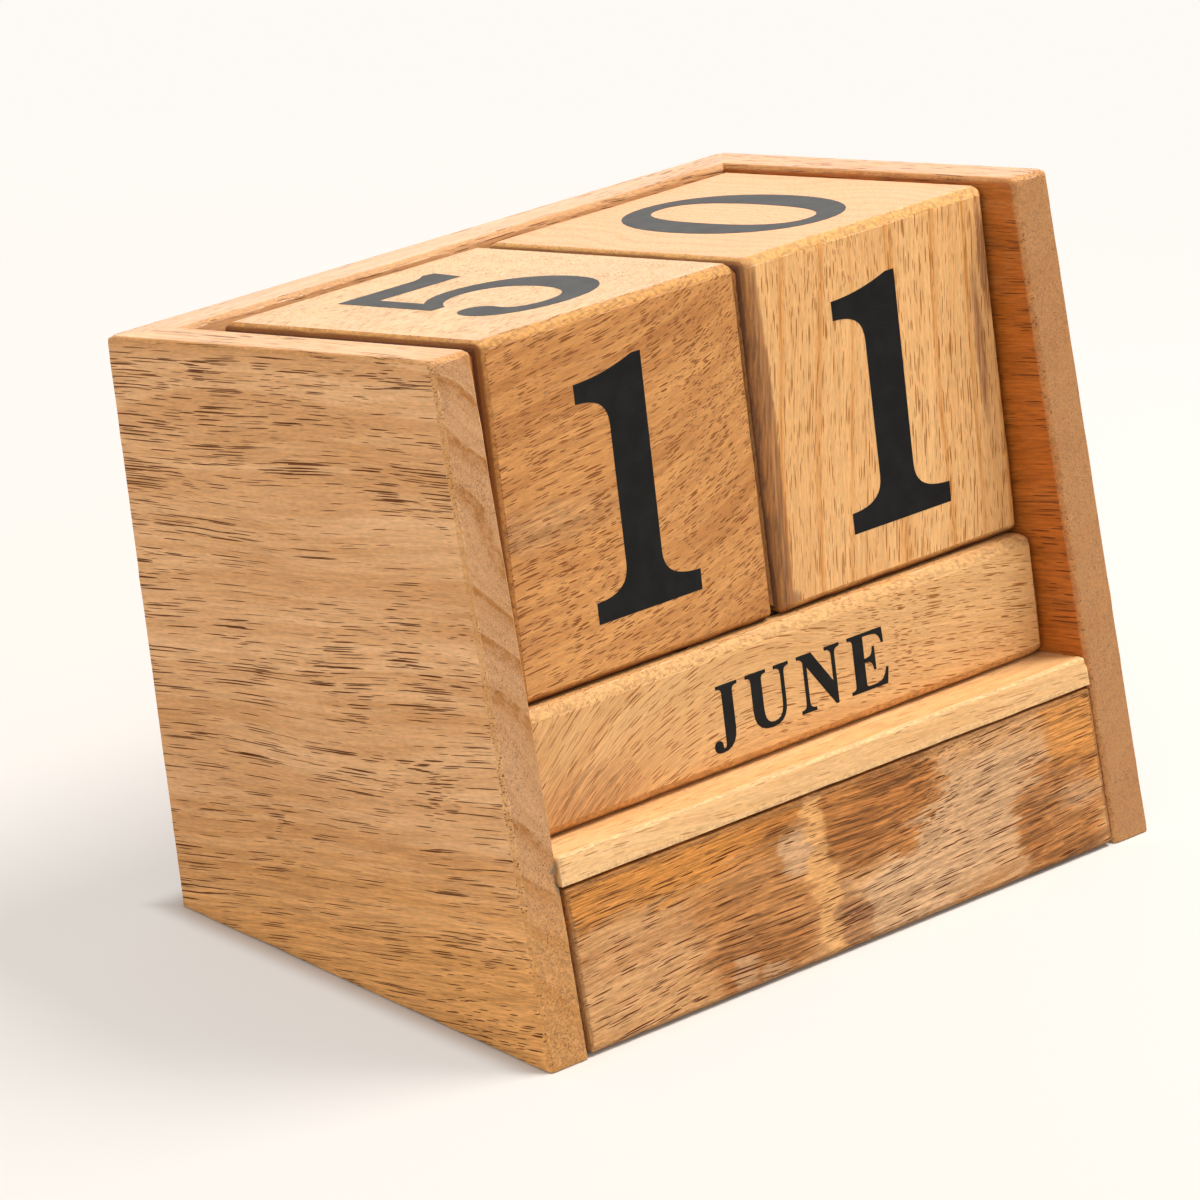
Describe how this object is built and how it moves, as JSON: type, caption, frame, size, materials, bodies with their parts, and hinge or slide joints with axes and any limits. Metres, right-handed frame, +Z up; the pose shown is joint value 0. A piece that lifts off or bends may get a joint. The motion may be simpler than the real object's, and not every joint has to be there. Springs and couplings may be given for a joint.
{
  "type": "perpetual desk calendar with drawer",
  "caption": "Leaning wooden block calendar: two day cubes on three month bars in a mitred case, over a flush drawer.",
  "frame": {"origin": "on the desk, under the middle of the case", "axes": "+X to the object's right seen from its front, -Y towards the user, +Z up"},
  "size_m": [0.1226, 0.089, 0.0923],
  "materials": {
    "case_wood": "smooth, open pores, thin clear coat",
    "shelf_wood": "smooth, thin clear coat",
    "spalted_wood": "smooth, spalted and mottled, thin clear coat",
    "inner_wood": "raw, sanded",
    "cube_wood": "smooth, open pores, thin clear coat",
    "bar_wood": "smooth, open pores, thin clear coat",
    "ink": "matt printed ink"
  },
  "bodies": {
    "case": {"left_side_panel": "case_wood", "right_side_panel": "case_wood", "back_panel": "case_wood", "shelf": "shelf_wood", "base_board": "inner_wood"},
    "drawer": {"drawer_front": "spalted_wood", "drawer_bottom": "inner_wood", "drawer_left_side": "inner_wood", "drawer_right_side": "inner_wood", "drawer_back": "inner_wood"},
    "tens_cube": {"day_cube_tens": "cube_wood"},
    "units_cube": {"day_cube_units": "cube_wood"},
    "rear_bar": {"month_bar_rear": "bar_wood"},
    "middle_bar": {"month_bar_middle": "bar_wood"},
    "front_bar": {"month_bar_front": "bar_wood"}
  },
  "joints": [
    {"name": "drawer_slide", "type": "slide", "parent": "case", "child": "drawer", "axis": [0, -1, 0], "range_m": [0, 0.04]},
    {"name": "tens_cube_lift", "type": "slide", "parent": "case", "child": "tens_cube", "axis": [0, 0.2215, 0.9751], "range_m": [0, 0.055]},
    {"name": "units_cube_lift", "type": "slide", "parent": "case", "child": "units_cube", "axis": [0, 0.2215, 0.9751], "range_m": [0, 0.055]},
    {"name": "rear_bar_push", "type": "slide", "parent": "case", "child": "rear_bar", "axis": [0, -0.9751, 0.2215], "range_m": [0, 0.062]},
    {"name": "middle_bar_push", "type": "slide", "parent": "rear_bar", "child": "middle_bar", "axis": [0, -0.9751, 0.2215], "range_m": [0, 0.045]},
    {"name": "front_bar_push", "type": "slide", "parent": "middle_bar", "child": "front_bar", "axis": [0, -0.9751, 0.2215], "range_m": [0, 0.027]}
  ]
}
